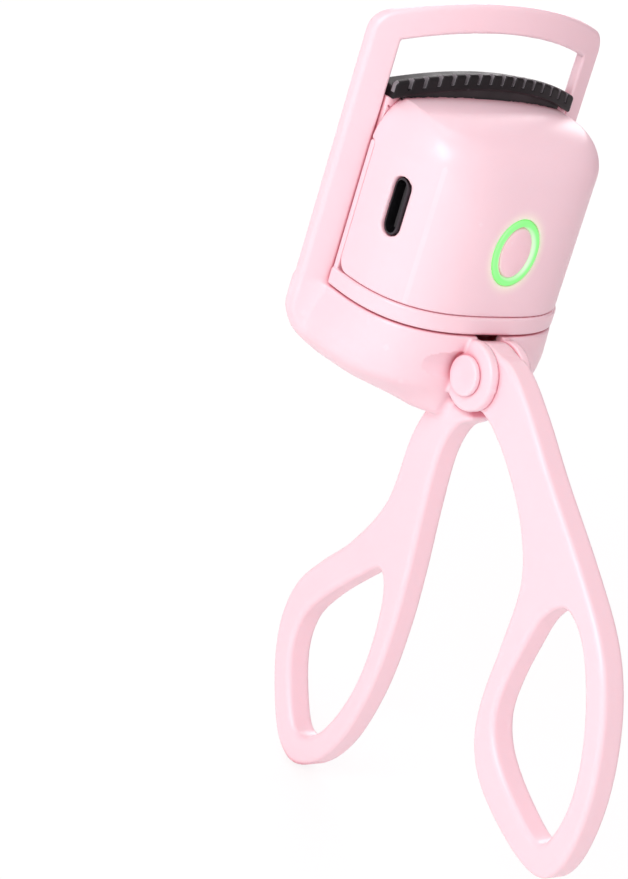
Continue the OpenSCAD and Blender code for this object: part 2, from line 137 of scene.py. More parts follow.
def spline(points, steps=14):
    """A smooth closed curve through the points."""
    p = np.array(points, float)
    a, b, c, d = np.roll(p, 1, 0), p, np.roll(p, -1, 0), np.roll(p, -2, 0)
    rows = [
        0.5 * (2 * b + (c - a) * t + (2 * a - 5 * b + 4 * c - d) * t * t + (3 * b - a - 3 * c + d) * t ** 3)
        for t in np.arange(steps) / steps
    ]
    return np.stack(rows, 1).reshape(-1, 2)


def polygon_table(points, low, shape, step):
    """Signed distances to a closed outline on a grid, negative inside."""
    u = (low[0] + step * np.arange(shape[0]))[:, None]
    v = (low[1] + step * np.arange(shape[1]))[None, :]
    best = np.full(shape, 1e12)
    inside = np.zeros(shape, bool)
    for (au, av), (bu, bv) in zip(points, np.roll(points, -1, 0)):
        eu, ev = bu - au, bv - av
        length = eu * eu + ev * ev
        if length < 1e-12:
            continue
        t = np.clip(((u - au) * eu + (v - av) * ev) / length, 0, 1)
        best = np.minimum(best, (u - au - t * eu) ** 2 + (v - av - t * ev) ** 2)
        if ev:
            inside ^= ((av > v) != (bv > v)) & (u < eu * (v - av) / ev + au)
    return np.where(inside, -1, 1) * np.sqrt(best)


def between(at, u, v):
    """The value between four grid corners, at(0, 0) to at(1, 1), at the shares u and v."""
    return (at(0, 0) * (1 - u) + at(1, 0) * u) * (1 - v) + (at(0, 1) * (1 - u) + at(1, 1) * u) * v


class Outline:
    """The distance to a closed outline, read from a table."""

    def __init__(self, points, step=0.15, margin=5.0):
        p = np.array(points, float)
        self.low, self.step = p.min(0) - margin, step
        self.shape = tuple(np.ceil((p.max(0) + margin - self.low) / step).astype(int) + 1)
        self.table = polygon_table(p, self.low, self.shape, step)

    def __call__(self, u, v):
        gu = np.clip((u - self.low[0]) / self.step, 0, self.shape[0] - 1.001)
        gv = np.clip((v - self.low[1]) / self.step, 0, self.shape[1] - 1.001)
        i, j = gu.astype(int), gv.astype(int)
        gu, gv = gu - i, gv - j
        return between(lambda a, b: self.table[i + a, j + b], gu, gv)


class Loft:
    """Outlines at evenly spaced heights, blended smoothly between them."""

    def __init__(self, outlines, z_low, spacing, step=0.2, margin=5.0):
        p = np.concatenate(outlines)
        self.low, self.step, self.z_low, self.spacing = p.min(0) - margin, step, z_low, spacing
        self.shape = tuple(np.ceil((p.max(0) + margin - self.low) / step).astype(int) + 1)
        self.table = np.stack([polygon_table(o, self.low, self.shape, step) for o in outlines])

    def __call__(self, x, y, z):
        gu = np.clip((x - self.low[0]) / self.step, 0, self.shape[0] - 1.001)
        gv = np.clip((y - self.low[1]) / self.step, 0, self.shape[1] - 1.001)
        i, j = gu.astype(int), gv.astype(int)
        gu, gv = gu - i, gv - j
        count = len(self.table)
        gz = np.clip((z - self.z_low) / self.spacing, 0, count - 1.001)
        k = gz.astype(int)
        t = gz - k
        weights = (
            0.5 * (-t + 2 * t * t - t ** 3), 0.5 * (2 - 5 * t * t + 3 * t ** 3),
            0.5 * (t + 4 * t * t - 3 * t ** 3), 0.5 * (t ** 3 - t * t),
        )
        total = 0
        for n, w in enumerate(weights):
            level = np.clip(k + n - 1, 0, count - 1)
            total = total + w * between(lambda a, b: self.table[level, i + a, j + b], gu, gv)
        return total


# --- From field to mesh -------------------------------------------------------------------

def gradient(field, p, e=0.03):
    parts = []
    for axis in range(3):
        ahead, behind = p.copy(), p.copy()
        ahead[:, axis] += e
        behind[:, axis] -= e
        parts.append((field(*ahead.T) - field(*behind.T)) / (2 * e))
    return np.stack(parts, 1)


def surface(field, low, high, step):
    """Points, quads and normals of the field's zero level in a box."""
    ax = [np.arange(a, b + step, step) for a, b in zip(low, high)]
    shape = tuple(len(a) for a in ax)
    values = field(ax[0][:, None, None], ax[1][None, :, None], ax[2][None, None, :])
    values = np.broadcast_to(values, shape)
    inside = values < 0
    count = np.zeros(tuple(n - 1 for n in shape), np.int8)
    for a in (0, 1):
        for b in (0, 1):
            for c in (0, 1):
                count += inside[a:shape[0] - 1 + a, b:shape[1] - 1 + b, c:shape[2] - 1 + c]
    active = (count > 0) & (count < 8)
    cells = np.argwhere(active)
    number = np.full(active.shape, -1, np.int64)
    number[active] = np.arange(len(cells))
    total, hits = np.zeros((len(cells), 3)), np.zeros(len(cells))
    for axis in range(3):
        others = [k for k in range(3) if k != axis]
        for a in (0, 1):
            for b in (0, 1):
                start = cells.copy()
                start[:, others[0]] += a
                start[:, others[1]] += b
                end = start.copy()
                end[:, axis] += 1
                va, vb = values[tuple(start.T)], values[tuple(end.T)]
                crossing = (va < 0) != (vb < 0)
                t = np.where(crossing, va / np.where(crossing, va - vb, 1), 0)
                point = start.astype(float)
                point[:, axis] += t
                total += point * crossing[:, None]
                hits += crossing
    points = np.array(low) + step * total / hits[:, None]
    quads = []
    for axis in range(3):
        o1, o2 = (axis + 1) % 3, (axis + 2) % 3
        before = np.take(inside, range(shape[axis] - 1), axis)
        after = np.take(inside, range(1, shape[axis]), axis)
        for flip in (False, True):
            change = (after & ~before) if flip else (before & ~after)
            e = np.argwhere(change)
            e = e[(e[:, o1] > 0) & (e[:, o1] < shape[o1] - 1) & (e[:, o2] > 0) & (e[:, o2] < shape[o2] - 1)]
            corners = []
            for d1, d2 in ((1, 1), (0, 1), (0, 0), (1, 0)):
                c = e.copy()
                c[:, o1] -= d1
                c[:, o2] -= d2
                corners.append(number[tuple(c.T)])
            q = np.stack(corners, 1)
            quads.append(q[:, ::-1] if flip else q)
    for _ in range(3):
        g = gradient(field, points)
        size = np.maximum((g * g).sum(1), 0.05)
        move = g * (field(*points.T) / size)[:, None]
        length = np.linalg.norm(move, axis=1)[:, None]
        points -= move * np.minimum(1, 0.6 * step / np.maximum(length, 1e-9))
    g = gradient(field, points)
    return points, np.concatenate(quads), g / np.maximum(np.linalg.norm(g, axis=1), 1e-9)[:, None]


def piece(name, node, field, low, high, step, body, material):
    """Makes a field's surface into a piece that rides on a body and stands for a CAD node."""
    points, quads, normals = surface(field, low, high, step)
    mesh = bpy.data.meshes.new(name)
    mesh.from_pydata(to_frame(points).tolist(), [], quads.tolist())
    mesh.validate()
    mesh.shade_smooth()
    mesh.normals_split_custom_set_from_vertices(normals.tolist())
    obj = bpy.data.objects.new(name, mesh)
    bpy.context.scene.collection.objects.link(obj)
    mesh.materials.append(material)
    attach(obj, body)
    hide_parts(node)


# --- Shapes: frame ------------------------------------------------------------------------

def arc(cx, cz, r, start, end, steps=10):
    return [
        (cx + r * math.cos(math.radians(a)), cz + r * math.sin(math.radians(a)))
        for a in np.linspace(start, end, steps)
    ]


def frame_outline():
    """The frame plate seen from the front, with each corner's arc tangent to its neighbours."""
    bottom, foot, corner = -3.2, 4.6, 4.0
    centre, r = BAR_Z - ARCH_R, ARCH_R + BAR_H
    shoulder = HALF_FRAME - corner
    rise = math.sqrt((r - corner) ** 2 - shoulder ** 2)
    lean = math.degrees(math.atan2(rise, shoulder))
    return (
        arc(-HALF_FRAME + foot, bottom + foot, foot, 180, 270)
        + arc(HALF_FRAME - foot, bottom + foot, foot, 270, 360)
        + arc(shoulder, centre + rise, corner, 0, lean)
        + arc(0, centre, r, lean, 180 - lean, 60)
        + arc(-shoulder, centre + rise, corner, 180 - lean, 180)
    )


def opening_outline():
    """The opening between the rails, arched at the top like the bar."""
    side = math.degrees(math.acos(HALF_OPEN / ARCH_R))
    return [(HALF_OPEN, 0), *arc(0, BAR_Z - ARCH_R, ARCH_R, side, 180 - side, 60), (-HALF_OPEN, 0)]


OUTER = Outline(frame_outline())
OPENING = Outline(opening_outline())


def plate_field(x, y, z):
    across = slab(radius(x, y), BACK_R, FRONT_R)
    face = cut(OUTER(x, z), meet(OPENING(x, z), CUP_Z - 1 - z, 0.3), 0.05)
    return meet(face, across, 0.55)


def cup_outline(flat, front, half, side, power, back_half, back):
    """One level of the cup: a front flat, curved sides to the widest point, and the back."""
    t = np.linspace(0, math.pi / 2, 26)
    xs = flat + (half - flat) * np.sin(t) ** (2 / power)
    ys = side - (side - front) * np.cos(t) ** (2 / power)
    right = [(0, front), *zip(xs, ys), (back_half, (side + back) / 2 + 1.5), (back_half - 0.6, back + 2)]
    return np.array(right + [(-x, y) for x, y in reversed(right[1:])])


CUP_LEVELS = [
    cup_outline(3.9, 4.6, 6.6, 8.0, 1.2, 6.8, 17),
    cup_outline(4.05, 3.9, 14.6, 15.6, 1.5, 15.2, 22),
    cup_outline(4.05, 3.3, 19.2, 19.4, 2.3, 20.0, 24),
    cup_outline(3.8, 2.9, 20.0, 20.4, 2.5, 21.6, 24.5),
    cup_outline(2.4, 2.3, 19.4, 20.0, 2.6, 22.0, 24.5),
    cup_outline(0.0, 1.9, 18.7, 19.6, 2.8, 22.0, 24.5),
]
CUP = Loft(CUP_LEVELS, -9.6, 3.0)

REAR_EDGE = Outline(spline([
    (1.5, -6), (7, -6.8), (10.2, -14.5), (11.1, -26.9), (16.1, -36.7), (21.5, -43.3), (25.6, -49.2),
    (27.1, -55.5), (26.3, -62), (23.3, -69), (19.2, -74.8), (14.2, -76.7), (8.9, -73.4),
    (4.4, -66.2), (1.6, -55.6), (0.9, -45), (1.4, -35), (2.6, -23.9), (3.1, -15), (1.6, -9.5), (-1.4, -6.6),
]))
REAR_LOOP = Outline(spline([
    (8.2, -37.6), (12.6, -41.6), (18.4, -48.3), (22, -54.3), (22.3, -60.3), (19.6, -66.6), (15.9, -71.3),
    (11.8, -70.5), (8, -65), (5.4, -57.4), (4.6, -49), (5.6, -40.5),
]))
FRONT_EDGE = Outline(spline([
    (1.5, 3.4), (-3.4, 4.7), (-7.6, 3.6), (-13.8, -0.6), (-21.3, -6.6), (-32.4, -14.8), (-40.6, -21.8),
    (-45.3, -28.6), (-48.3, -37), (-49.5, -46), (-48.6, -54.4), (-45.6, -59.2), (-40.4, -59.8),
    (-33, -57.5), (-26.8, -54), (-23.2, -49), (-22, -42.5), (-22.3, -33), (-22.1, -23), (-18.4, -15.8),
    (-12.4, -9.8), (-6.4, -5.8), (-0.5, -3.2),
]))
FRONT_LOOP = Outline(spline([
    (-32, -21.7), (-28.6, -25.2), (-26.9, -31.3), (-25.7, -38.5), (-26, -44), (-29, -48.6), (-35.4, -52.7),
    (-42.4, -55), (-45.1, -50.5), (-45.5, -43), (-43.4, -34.5), (-39.6, -26.9), (-35.8, -22.8),
]))
HANDLE_EDGE = 0.9


def handle_field(edge, loop, x, y, z):
    return meet(cut(edge(y, z), loop(y, z), 0.05), np.abs(x) - HANDLE_T / 2, HANDLE_EDGE)


def pin_distance(y, z):
    return np.hypot(y, z)


def frame_field(x, y, z):
    r = radius(x, y)
    cup = meet(meet(CUP(x, y, z), -9.1 - z, 1.6), z - CUP_Z, 0.45)
    cup = meet(cup, BACK_R - r, 0.6)
    whole = join(plate_field(x, y, z), cup, 0.9)
    ears = meet(pin_distance(y, z) - EAR_R, np.abs(x) - EAR_OUT, 0.5)
    whole = join(whole, ears, 0.5)
    whole = join(whole, handle_field(REAR_EDGE, REAR_LOOP, x, y, z), 1.2)
    inner = meet(CUP(x, y, z) + 1.7, -7.4 - z, 1.2)
    inner = meet(inner, BACK_R + 1.8 - r, 0.8)
    inner = np.maximum(inner, np.maximum(z - CUP_Z - 1, y - BODY_Y - 0.4))
    whole = cut(whole, inner, 0.4)
    room = meet(slab(x, -EAR_IN, EAR_IN), np.maximum(y - 8, -z - HUB_R - HUB_ROOM), 0.2)
    room = np.minimum(room, np.maximum(slab(x, -EAR_IN, EAR_IN), pin_distance(y, z) - HUB_R - HUB_ROOM))
    whole = cut(whole, room, 0.3)
    seat = np.maximum(pin_distance(y, z) - CAP_R - SEAT_ROOM, EAR_OUT + 0.03 - np.abs(x))
    return np.maximum(whole, -seat)


# --- Shapes: front handle -----------------------------------------------------------------

def front_handle_field(x, y, z):
    """The front handle. Its blends thicken the hub, which enters each ear by 0.1 mm."""
    grip = handle_field(FRONT_EDGE, FRONT_LOOP, x, y, z)
    hub = meet(pin_distance(y, z) - HUB_R, np.abs(x) - HANDLE_T / 2, HANDLE_EDGE * 0.7)
    turn = math.atan2(DRIVE_Z, DRIVE_Y)
    along = y * math.cos(turn) + z * math.sin(turn)
    aside = z * math.cos(turn) - y * math.sin(turn)
    arm = np.hypot(along - np.clip(along, 0, ARM_R), aside) - ARM_HALF
    arm = meet(arm, np.abs(x) - HANDLE_T / 2, 0.5)
    return join(join(grip, hub, 0.6), arm, 1.0)


# --- Shapes: heater body ------------------------------------------------------------------

def body_outline(half, front, back, power=2.8):
    t = np.linspace(0, math.pi, 121)
    xs = -half * np.sign(np.cos(t)) * np.abs(np.cos(t)) ** (2 / power)
    ys = BODY_Y - (BODY_Y - front) * np.abs(np.sin(t)) ** (2 / power)
    return [(-half, back), *zip(xs, ys), (half, back)]


def body_profile():
    t = np.radians(np.linspace(0, 90, 40))
    ys = DOME_Y - (DOME_Y - DOME_FRONT) * np.cos(t)
    zs = DOME_Z + (BODY_TOP + 0.5 - DOME_Z) * np.sin(t)
    return [(30, 0), (DOME_FRONT, 0), *zip(ys, zs), (30, BODY_TOP + 0.5)]


BODY = Outline(body_outline(BODY_HALF, BODY_FRONT, 30))
PROFILE = Outline(body_profile())


def ellipse(w, h, steps=120):
    t = np.linspace(0, 2 * math.pi, steps, endpoint=False)
    return list(zip(w / 2 * np.cos(t), BUTTON_Z + h / 2 * np.sin(t)))


RING = Outline(ellipse(RING_W, RING_H), step=0.08, margin=2.5)


def body_form(x, y, z):
    """The heater body's full outer form."""
    side = meet(BODY(x, y), PROFILE(y, z), 3.5)
    return meet(side, arch(x, z, BODY_TOP), 6.0)


def rear_region(y, z, gap):
    """What the rear cover takes of the body's surface: the chin and the side strips."""
    strip = meet(BODY_Y - gap - y, z - STRIP_Z - gap, 0.8)
    return join(z - CHIN_Z - gap, strip, 2.2)


def front_cover_field(x, y, z):
    form = body_form(x, y, z)
    shell = cut(form, form + WALL, 0.1)
    for bx in (-BOSS_X, BOSS_X):
        for bz in BOSS_ZS:
            away = np.hypot(x - bx, z - bz)
            boss = np.maximum(away - BOSS_R, slab(y, 8, BOSS_END))
            boss = cut(boss, np.maximum(away - BOSS_BORE, BORE_START - y), 0.05)
            shell = np.minimum(shell, boss)
    shell = cut(shell, rear_region(y, z, 0.06), 0.28)
    shell = cut(shell, BODY_BACK - y, 0.25)
    shell = np.maximum(shell, -slab(radius(x, y), 0, FLANGE_R + 0.08))
    slot = meet(slab(radius(x, y), FLANGE_R - 1, HOLDER_OUT + SEAM), np.abs(x) - HOLDER_HALF - SEAM, 0.05)
    shell = np.maximum(shell, -np.maximum(slot, 30 - z))
    shell = cut(shell, np.maximum(RING(x, z) - 0.06, y - 8), 0.22)
    port = np.hypot(y - USB_Y, z - USB_Z - np.clip(z - USB_Z, -PORT_REACH, PORT_REACH)) - PORT_R
    return cut(shell, np.maximum(port, x + 10), 0.3)


def rear_cover_field(x, y, z):
    r = radius(x, y)
    grown = BODY(x, y) - 0.3
    chin = meet(meet(grown, slab(z, BODY_Z, CHIN_Z), 0.45), y - BODY_BACK, 0.3)
    chin = cut(chin, np.maximum(BODY(x, y) + WALL, BODY_Z + WALL - z), 0.2)
    floor = np.maximum(slab(z, BODY_Z, BODY_Z + WALL), slab(r, FLANGE_R - 1, FRONT_R))
    floor = np.maximum(floor, np.abs(x) - RIB_OUT)
    floor = np.maximum(floor, BODY_BACK - 0.5 - y)
    under = arch(x, z, BODY_TOP)
    plate = meet(np.abs(x) - BODY_HALF, meet(7 - z, under, 1.2), 1.2)
    plate = meet(slab(r, FLANGE_R - FLANGE_T, FLANGE_R), plate, 0.5)
    band = np.maximum(under, -under - WALL)
    lip = np.maximum(np.maximum(slab(r, FLANGE_R - 1, FRONT_R), np.abs(x) - RIB_OUT), band)
    lip = np.maximum(lip, BODY_BACK + SEAM - y)
    lip = np.maximum(lip, -np.maximum(slab(r, HOLDER_IN - SEAM, FRONT_R + 1), np.abs(x) - HOLDER_HALF - SEAM))
    rib = np.maximum(np.maximum(slab(np.abs(x), RIB_IN, RIB_OUT), slab(z, BODY_Z, BODY_TOP)), under + WALL)
    rib = np.maximum(rib, np.maximum(BODY_BACK + SEAM - y, FLANGE_R - 1 - r))
    tie = np.maximum(slab(np.abs(x), RIB_IN, RIB_OUT), slab(y, BODY_BACK - 0.3, BODY_BACK + 0.3))
    rib = np.minimum(rib, np.maximum(tie, slab(z, BODY_Z, STRIP_Z)))
    strip = np.maximum(BODY(x, y), RIB_IN - np.abs(x))
    strip = meet(strip, meet(slab(y, BODY_Y, BODY_BACK), z - STRIP_Z, 0.5), 0.2)
    strip = np.maximum(strip, BODY_Z - z)
    lug = np.hypot(y - np.clip(y, DRIVE_Y - 1, DRIVE_Y + 1), np.minimum(z - DRIVE_Z, 0)) - LUG_R
    lug = meet(slab(np.abs(x), LUG_IN, LUG_OUT), lug, 0.3)
    lug = np.maximum(lug, z - LUG_TOP)
    lug = cut(lug, np.hypot(y - np.clip(y, DRIVE_Y, ARM_R), z - DRIVE_Z) - LUG_SLOT, 0.1)
    whole = np.minimum(np.minimum(chin, floor), np.minimum(lip, rib))
    whole = np.minimum(whole, np.minimum(plate, lug))
    whole = join(whole, strip, 0.05)
    for bx in (-BOSS_X, BOSS_X):
        for bz in BOSS_ZS:
            away = np.hypot(x - bx, z - bz)
            whole = cut(whole, np.maximum(away - HEAD_HOLE, SCREW_SEAT - y), 0.15)
            whole = np.maximum(whole, -np.maximum(away - SCREW_HOLE, 15 - y))
    return whole


# --- Shapes: pad, ring, button, caps ------------------------------------------------------

COMB_R = FRONT_R + 1
SLOT_ANGLES = [math.asin((2 * i / (SLOTS + 1) - 1) * PAD_HALF / COMB_R) for i in range(1, SLOTS + 1)]


def pad_field(x, y, z):
    r = radius(x, y)
    top = arch(x, z, PAD_TOP)
    comb = meet(slab(r, FRONT_R - 0.2, COMB_R), np.abs(x) - PAD_HALF, 0.4)
    comb = meet(comb, np.maximum(top, -top - PAD_H), 0.4)
    shelf = meet(slab(r, FRONT_R - 3.1, FRONT_R), np.abs(x) - PAD_HALF, 0.4)
    shelf = meet(shelf, np.maximum(top + PAD_SHELF, -top - PAD_H), 0.3)
    block = join(comb, shelf, 0.3)
    recess = np.maximum(slab(r, HOLDER_IN - SEAM, HOLDER_OUT + SEAM), np.abs(x) - HOLDER_HALF - SEAM)
    block = np.maximum(block, -np.maximum(recess, top + PAD_SHELF + 0.25))
    angle = np.arctan2(x, PLATE_Y - y)
    nearest = np.min([np.abs(angle - a) for a in SLOT_ANGLES], 0) * COMB_R
    slots = np.maximum(np.maximum(nearest - SLOT_HALF, FRONT_R + 0.35 - r), -top - SLOT_DEEP)
    return cut(block, slots, 0.12)


def light_ring_field(x, y, z):
    d = RING(x, z)
    band = np.abs(d + RING_BAND / 2) - RING_BAND / 2
    rim = meet(band, slab(y, BODY_FRONT - 0.1, BODY_FRONT + 3), 0.4)
    flange = np.maximum(slab(d, -RING_BAND, 1.0), slab(y, BODY_FRONT + 1.95, BODY_FRONT + 3))
    return np.minimum(rim, flange)


def button_field(x, y, z):
    d = RING(x, z) + RING_BAND + BUTTON_GAP
    dish = BODY_FRONT - 0.1 + 0.25 * np.clip(1 + d / 2.4, 0, 1) ** 2
    cap = meet(d, np.maximum(dish - y, y - BODY_FRONT - BUTTON_DEEP), 0.35)
    flange = np.maximum(d - 0.8, slab(y, BODY_FRONT + 3.1, BODY_FRONT + BUTTON_DEEP))
    stem = np.maximum(np.hypot(x, z - BUTTON_Z) - STEM_R, slab(y, BODY_FRONT + 3.5, SWITCH_FRONT))
    return np.minimum(np.minimum(cap, flange), stem)


def caps_field(x, y, z):
    d = pin_distance(y, z)
    face = EAR_OUT + CAP_T - 0.18 * np.clip(1 - d / 2.3, 0, 1)
    cap = meet(d - CAP_R, np.maximum(EAR_OUT - np.abs(x), np.abs(x) - face), 0.38)
    return np.maximum(cap, -np.maximum(d - 1.52, np.abs(x) - EAR_OUT - 0.57))


# --- Materials ----------------------------------------------------------------------------

class Nodes:
    """A short way to write a node material."""

    def __init__(self, name):
        self.material = bpy.data.materials.new(name)
        self.material.use_nodes = True
        self.tree = self.material.node_tree
        self.bsdf = next(n for n in self.tree.nodes if n.type == "BSDF_PRINCIPLED")
        self.where = self.add("ShaderNodeTexCoord").outputs["Object"]

    def add(self, kind, **values):
        node = self.tree.nodes.new(kind)
        for key, value in values.items():
            if hasattr(node, key):
                setattr(node, key, value)
            else:
                self.put(node.inputs[key.replace("_", " ")], value)
        return node

    def put(self, socket, value):
        if isinstance(value, bpy.types.NodeSocket):
            self.tree.links.new(value, socket)
        else:
            socket.default_value = value

    def math(self, operation, a, b=0.0):
        node = self.add("ShaderNodeMath", operation=operation)
        self.put(node.inputs[0], a)
        self.put(node.inputs[1], b)
        return node.outputs[0]

    def noise(self, scale, detail):
        node = self.add("ShaderNodeTexNoise", Vector=self.where, Scale=scale, Detail=detail)
        return node.outputs["Fac"]

    def ramp(self, value, low, high, out_low, out_high):
        node = self.add("ShaderNodeMapRange")
        for socket, v in zip(node.inputs, (value, low, high, out_low, out_high)):
            self.put(socket, v)
        return node.outputs[0]

    def mix(self, factor, a, b):
        node = self.add("ShaderNodeMix", data_type="RGBA")
        self.put(node.inputs[0], factor)
        self.put(node.inputs[6], a)
        self.put(node.inputs[7], b)
        return node.outputs[2]

    def from_ring(self):
        """Distance from the button's centre, 1 at the light ring's outer edge."""
        low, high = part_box("light_ring")
        centre = (low + high) / 2
        split = self.add("ShaderNodeSeparateXYZ", Vector=self.where)
        across = self.math("MULTIPLY", self.math("SUBTRACT", split.outputs["X"], centre.x), 2000 / RING_W)
        rise = self.math("MULTIPLY", self.math("SUBTRACT", split.outputs["Z"], centre.z), 2000 / RING_H)
        squares = (self.math("MULTIPLY", across, across), self.math("MULTIPLY", rise, rise))
        return self.math("SQRT", self.math("ADD", *squares))

    def set(self, **values):
        for key, value in values.items():
            self.put(self.bsdf.inputs[key.replace("_", " ")], value)

    def bump(self, height, distance, strength):
        node = self.add("ShaderNodeBump", Height=height, Distance=distance, Strength=strength)
        self.put(self.bsdf.inputs["Normal"], node.outputs[0])


def srgb(r, g, b):
    """A colour from its 0 to 255 screen values."""
    def line(v):
        v /= 255
        return v / 12.92 if v <= 0.04045 else ((v + 0.055) / 1.055) ** 2.4
    return (line(r), line(g), line(b), 1.0)


def glossy_pink(name, base, fold_shade, pale, glow=False):
    """Moulded glossy plastic: painted shade as a deeper colour in the folds, painted highlights as paler, patchy
    edges, faint flow marks.
    """
    m = Nodes(name)
    drift = m.ramp(m.noise(9, 0), 0.1, 0.9, 0, 1)
    colour = m.mix(m.math("MULTIPLY", drift, 0.25), base, pale)
    # Painted shade: a deeper pink where ambient occlusion finds creases and folds.
    hollow = m.add("ShaderNodeAmbientOcclusion", Distance=0.005, samples=16)
    crease_shade = m.ramp(hollow.outputs["AO"], 0.1, 0.7, 0.85, 0)
    colour = m.mix(crease_shade, colour, fold_shade)
    # Painted highlight: convex edges turned paler by pointiness, made patchy by noise.
    edge = m.ramp(m.add("ShaderNodeNewGeometry").outputs["Pointiness"], 0.53, 0.62, 0, 0.5)
    edge_highlight = m.math("MULTIPLY", edge, m.ramp(m.noise(140, 3), 0.35, 0.7, 0.4, 1))
    colour = m.mix(edge_highlight, colour, pale)
    rough = m.ramp(m.noise(60, 4), 0.3, 0.7, 0.31, 0.40)
    m.set(Base_Color=colour, Roughness=rough, Coat_Weight=0.3, Coat_Roughness=0.3, IOR=1.48)
    m.set(Subsurface_Weight=0.12, Subsurface_Scale=0.003, Subsurface_Radius=(1.0, 0.45, 0.4))
    m.bump(m.noise(900, 2), 0.00002, 0.35)
    if glow:
        # Painted light: the ring's green glow spilling onto the cover around it, drawn as emission.
        halo = m.math("POWER", m.ramp(m.from_ring(), 1.0, 1.4, 1, 0), 2.0)
        ahead = m.add("ShaderNodeSeparateXYZ", Vector=m.where).outputs["Y"]
        front = m.math("LESS_THAN", ahead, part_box("light_ring")[0].y + 0.006)
        glowing = m.math("MULTIPLY", m.math("MULTIPLY", halo, front), 0.25)
        m.set(Emission_Color=srgb(150, 255, 140), Emission_Strength=glowing)
    return m.material


def plain(name, base, second, rough, scale=400, grain=0.00003, metallic=0.0):
    """A procedural finish: two colours mixed by noise, uneven roughness, grain and painted highlights as lighter
    edges.
    """
    m = Nodes(name)
    colour = m.mix(m.ramp(m.noise(scale * 0.2, 3), 0.35, 0.65, 0, 1), base, second)
    # Painted highlight: convex edges lighter by pointiness.
    edge = m.ramp(m.add("ShaderNodeNewGeometry").outputs["Pointiness"], 0.53, 0.62, 0, 0.5)
    edge_highlight_colour = tuple(min(1, c * 1.6 + 0.02) for c in base[:3]) + (1.0,)
    colour = m.mix(edge, colour, edge_highlight_colour)
    m.set(Base_Color=colour, Metallic=metallic)
    m.set(Roughness=m.ramp(m.noise(scale * 0.5, 4), 0.3, 0.7, rough * 0.85, min(1, rough * 1.2)))
    m.bump(m.noise(scale, 3), grain, 0.5)
    return m.material


def pad_material():
    """Black silicone with painted glints as a paler grey in the comb slots, and painted highlights on its edges.
    """
    m = Nodes("pad_silicone")
    split = m.add("ShaderNodeSeparateXYZ", Vector=m.where)
    behind = m.math("SUBTRACT", float(to_frame((0, PLATE_Y, 0))[1]), split.outputs["Y"])
    square = m.math("ADD", m.math("POWER", split.outputs["X"], 2.0), m.math("POWER", behind, 2.0))
    r = m.math("MULTIPLY", m.math("SQRT", square), 1000.0)
    across = m.math("DIVIDE", m.math("MULTIPLY", split.outputs["X"], 1000 * COMB_R / PAD_HALF), r)
    count = m.math("MULTIPLY", m.math("ADD", across, 1.0), (SLOTS + 1) / 2)
    off = m.math("ABSOLUTE", m.math("SUBTRACT", count, m.math("ROUND", count)))
    in_slot = m.math("LESS_THAN", off, (SLOT_HALF + 0.06) * (SLOTS + 1) / (2 * PAD_HALF))
    before_front = m.math("LESS_THAN", r, COMB_R - 0.15)
    inside = m.math("MULTIPLY", before_front, m.math("GREATER_THAN", r, FRONT_R + 0.2))
    drop = m.math("MULTIPLY", m.math("POWER", split.outputs["X"], 2.0), 500000 / PAD_ARCH)
    height = m.math("ADD", m.math("MULTIPLY", split.outputs["Z"], 1000.0), drop)
    low = float(to_frame((0, 0, PAD_TOP - SLOT_DEEP - 0.1))[2]) * 1000
    inside = m.math("MULTIPLY", inside, m.math("GREATER_THAN", height, low))
    black = m.mix(m.ramp(m.noise(140, 3), 0.35, 0.65, 0, 1), srgb(10, 10, 12), srgb(20, 19, 22))
    # Painted highlight: lighter edges by pointiness.
    edge = m.ramp(m.add("ShaderNodeNewGeometry").outputs["Pointiness"], 0.53, 0.62, 0, 0.6)
    black = m.mix(edge, black, srgb(70, 70, 74))
    # Painted glints: the walls and floors of the comb slots are a pale grey.
    m.set(Base_Color=m.mix(m.math("MULTIPLY", in_slot, inside), black, srgb(128, 126, 130)))
    m.set(Roughness=m.ramp(m.noise(350, 4), 0.3, 0.7, 0.36, 0.5), Specular_IOR_Level=0.3)
    m.bump(m.noise(700, 3), 0.00002, 0.5)
    return m.material


# Tones: the plastic's colour, the painted shade colour for folds, and a paler colour for flow marks and painted
# edge highlights.
SHELL_TONES = (srgb(250, 217, 225), srgb(228, 124, 144), srgb(253, 232, 238))
PINK = glossy_pink("pink_shell", *SHELL_TONES)
PINK_GLOW = glossy_pink("pink_cover", *SHELL_TONES, glow=True)
PINK_BUTTON = glossy_pink("pink_button", srgb(249, 212, 220), srgb(228, 130, 150), srgb(253, 230, 236))
RUBBER = pad_material()
STEEL = plain("steel", srgb(150, 150, 155), srgb(175, 175, 180), 0.3, 300, 0.00001, 1.0)
DARK_STEEL = plain("socket_steel", srgb(58, 58, 62), srgb(86, 86, 90), 0.35, 500, 0.00001, 0.9)
FINISHES = {
    "steel": STEEL,
    "heat_plastic": plain("heat_plastic", srgb(48, 48, 50), srgb(62, 62, 64), 0.6),
    "heater": plain("heater_plate", srgb(190, 190, 195), srgb(208, 208, 212), 0.35, 260, 0.00001, 1.0),
    "cell_foil": plain("cell_foil", srgb(188, 190, 194), srgb(205, 207, 210), 0.4, 150, 0.00005, 0.8),
    "foam": plain("foam", srgb(60, 60, 63), srgb(80, 80, 84), 0.9, 1500, 0.0002),
    "board": plain("board", srgb(16, 92, 52), srgb(24, 110, 62), 0.4, 300),
    "black_plastic": plain("black_plastic", srgb(26, 26, 28), srgb(36, 36, 38), 0.5),
    "led": plain("led_lens", srgb(238, 240, 228), srgb(248, 248, 240), 0.2),
    "wire": plain("wire_sleeve", srgb(180, 40, 40), srgb(200, 60, 56), 0.45),
    "silicone": RUBBER,
    "pink_plastic": PINK,
    "button_plastic": PINK_BUTTON,
}


